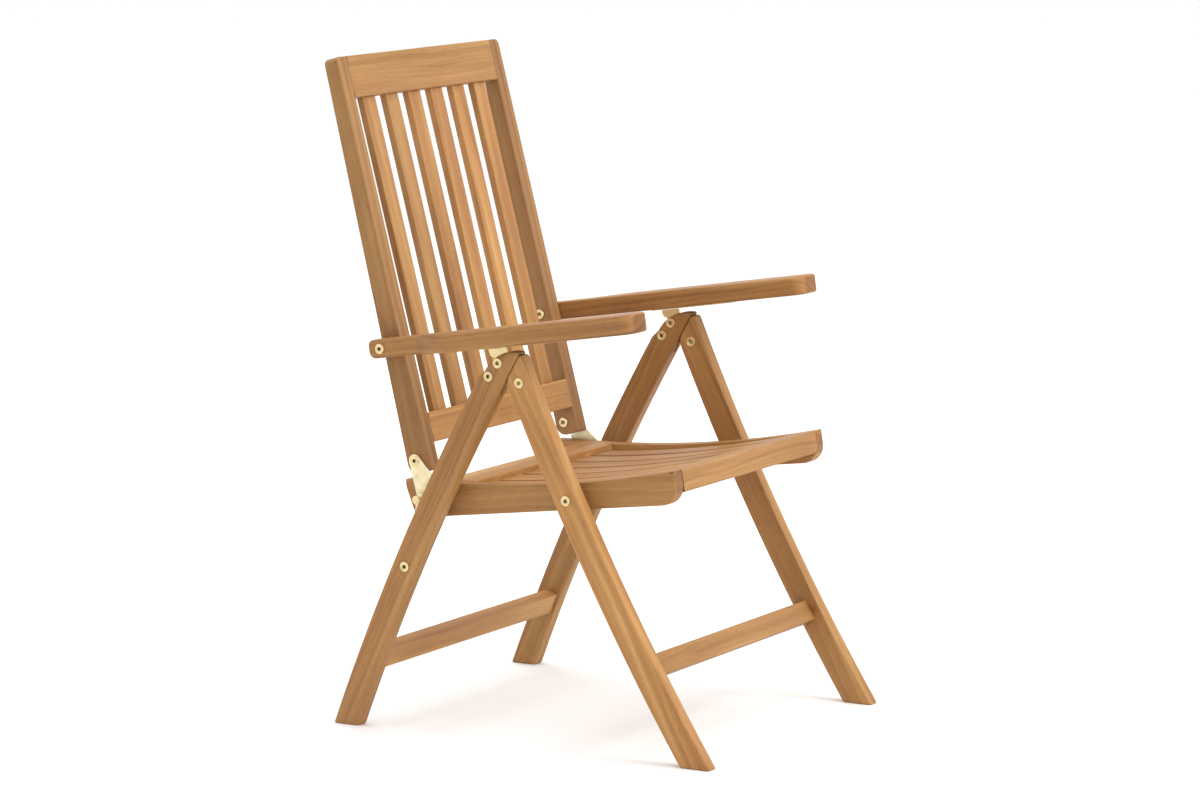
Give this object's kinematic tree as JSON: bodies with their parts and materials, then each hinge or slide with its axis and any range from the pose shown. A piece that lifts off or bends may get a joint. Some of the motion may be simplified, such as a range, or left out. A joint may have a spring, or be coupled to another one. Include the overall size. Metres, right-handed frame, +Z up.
{
  "type": "folding armchair",
  "caption": "Folding wooden armchair with bowed crossing legs, slatted seat and slatted reclining back held by notched rails under the arms.",
  "frame": {"origin": "on the floor, at the middle of the chair's width and of its depth", "axes": "+Z up, -Y the way a sitter faces, +X to the sitter's left"},
  "size_m": [0.618, 0.7215, 1.061],
  "materials": {
    "teak": "oiled, fine sanded",
    "teak_seat": "oiled, fine sanded",
    "teak_slats": "oiled, fine sanded",
    "brass": "lightly polished",
    "brass_sheet": "satin, rolled"
  },
  "bodies": {
    "rear_frame": {"rear_leg_left": "teak", "rear_leg_right": "teak", "rear_stretcher": "teak", "hinge_plate_left": "brass", "hinge_plate_right": "brass", "plate_bolt_barrels": "brass", "plate_bolt_screws": "brass", "link_bolt_barrels": "brass", "link_bolt_screws": "brass", "link_spacers": "brass"},
    "front_frame": {"front_leg_left": "teak", "front_leg_right": "teak", "front_stretcher": "teak", "leg_pivot_barrels": "brass", "leg_pivot_screws": "brass", "seat_pivot_barrels": "brass", "seat_pivot_screws": "brass", "seat_pivot_spacers": "brass"},
    "seat": {"seat_rail_left": "teak_seat", "seat_rail_right": "teak_seat", "seat_front_rail": "teak_seat", "seat_rear_rail": "teak_seat", "seat_slat_1": "teak_slats", "seat_slat_2": "teak_slats", "seat_slat_3": "teak_slats", "seat_slat_4": "teak_slats", "seat_slat_5": "teak_slats", "seat_slat_6": "teak_slats", "corner_plate_left": "brass_sheet", "corner_plate_right": "brass_sheet", "corner_plate_screws": "brass", "link_pins": "brass"},
    "link_left": {"link_left": "brass_sheet"},
    "link_right": {"link_right": "brass_sheet"},
    "back_bolts": {"back_pivot_barrels": "brass", "back_pivot_screws": "brass"},
    "back": {"back_stile_left": "teak", "back_stile_right": "teak", "back_top_rail": "teak", "back_bottom_rail": "teak", "back_slat_1": "teak_slats", "back_slat_2": "teak_slats", "back_slat_3": "teak_slats", "back_slat_4": "teak_slats", "back_slat_5": "teak_slats", "back_slat_6": "teak_slats"},
    "arm_bolts": {"arm_pivot_barrels": "brass", "arm_pivot_screws": "brass", "arm_washers": "brass"},
    "arm_left": {"arm_left": "teak", "arm_rail_left": "brass_sheet", "arm_rail_screws_left": "brass"},
    "arm_right": {"arm_right": "teak", "arm_rail_right": "brass_sheet", "arm_rail_screws_right": "brass"}
  },
  "joints": [
    {"name": "fold", "type": "hinge", "parent": "rear_frame", "child": "front_frame", "pos_m": [0, -0.0225, 0.574], "axis": [1, 0, 0], "range_deg": [0, 53]},
    {"name": "seat_turn", "type": "hinge", "parent": "front_frame", "child": "seat", "pos_m": [0, -0.10596, 0.39668], "axis": [1, 0, 0], "range_deg": [-92.76, 0]},
    {"name": "link_left_turn", "type": "hinge", "parent": "seat", "child": "link_left", "pos_m": [0.2518, 0.1775, 0.371], "axis": [1, 0, 0], "range_deg": [-95.82, 0]},
    {"name": "link_right_turn", "type": "hinge", "parent": "seat", "child": "link_right", "pos_m": [-0.2518, 0.1775, 0.371], "axis": [1, 0, 0], "range_deg": [-95.82, 0]},
    {"name": "back_fold", "type": "hinge", "parent": "seat", "child": "back_bolts", "pos_m": [0, 0.1934, 0.4295], "axis": [1, 0, 0], "range_deg": [0, 96.76]},
    {"name": "recline", "type": "hinge", "parent": "back_bolts", "child": "back", "pos_m": [0, 0.1934, 0.4295], "axis": [-1, 0, 0], "range_deg": [0, 36]},
    {"name": "arm_fold", "type": "hinge", "parent": "back", "child": "arm_bolts", "pos_m": [0, 0.239, 0.608], "axis": [1, 0, 0], "range_deg": [-123.01, 0]},
    {"name": "arm_left_tilt", "type": "hinge", "parent": "arm_bolts", "child": "arm_left", "pos_m": [0.2623, 0.239, 0.608], "axis": [1, 0, 0], "range_deg": [0, 27.46]},
    {"name": "arm_right_tilt", "type": "hinge", "parent": "arm_bolts", "child": "arm_right", "pos_m": [-0.2623, 0.239, 0.608], "axis": [1, 0, 0], "range_deg": [0, 27.46]}
  ],
  "couplings": [
    {"joint": "seat_turn", "follows": "fold", "ratio": -1.75},
    {"joint": "link_left_turn", "follows": "fold", "ratio": -1.8077},
    {"joint": "link_right_turn", "follows": "fold", "ratio": -1.8077},
    {"joint": "back_fold", "follows": "fold", "ratio": 1.8255},
    {"joint": "arm_fold", "follows": "fold", "ratio": -2.3208},
    {"joint": "arm_left_tilt", "follows": "recline", "ratio": 0.7625},
    {"joint": "arm_right_tilt", "follows": "recline", "ratio": 0.7625}
  ]
}
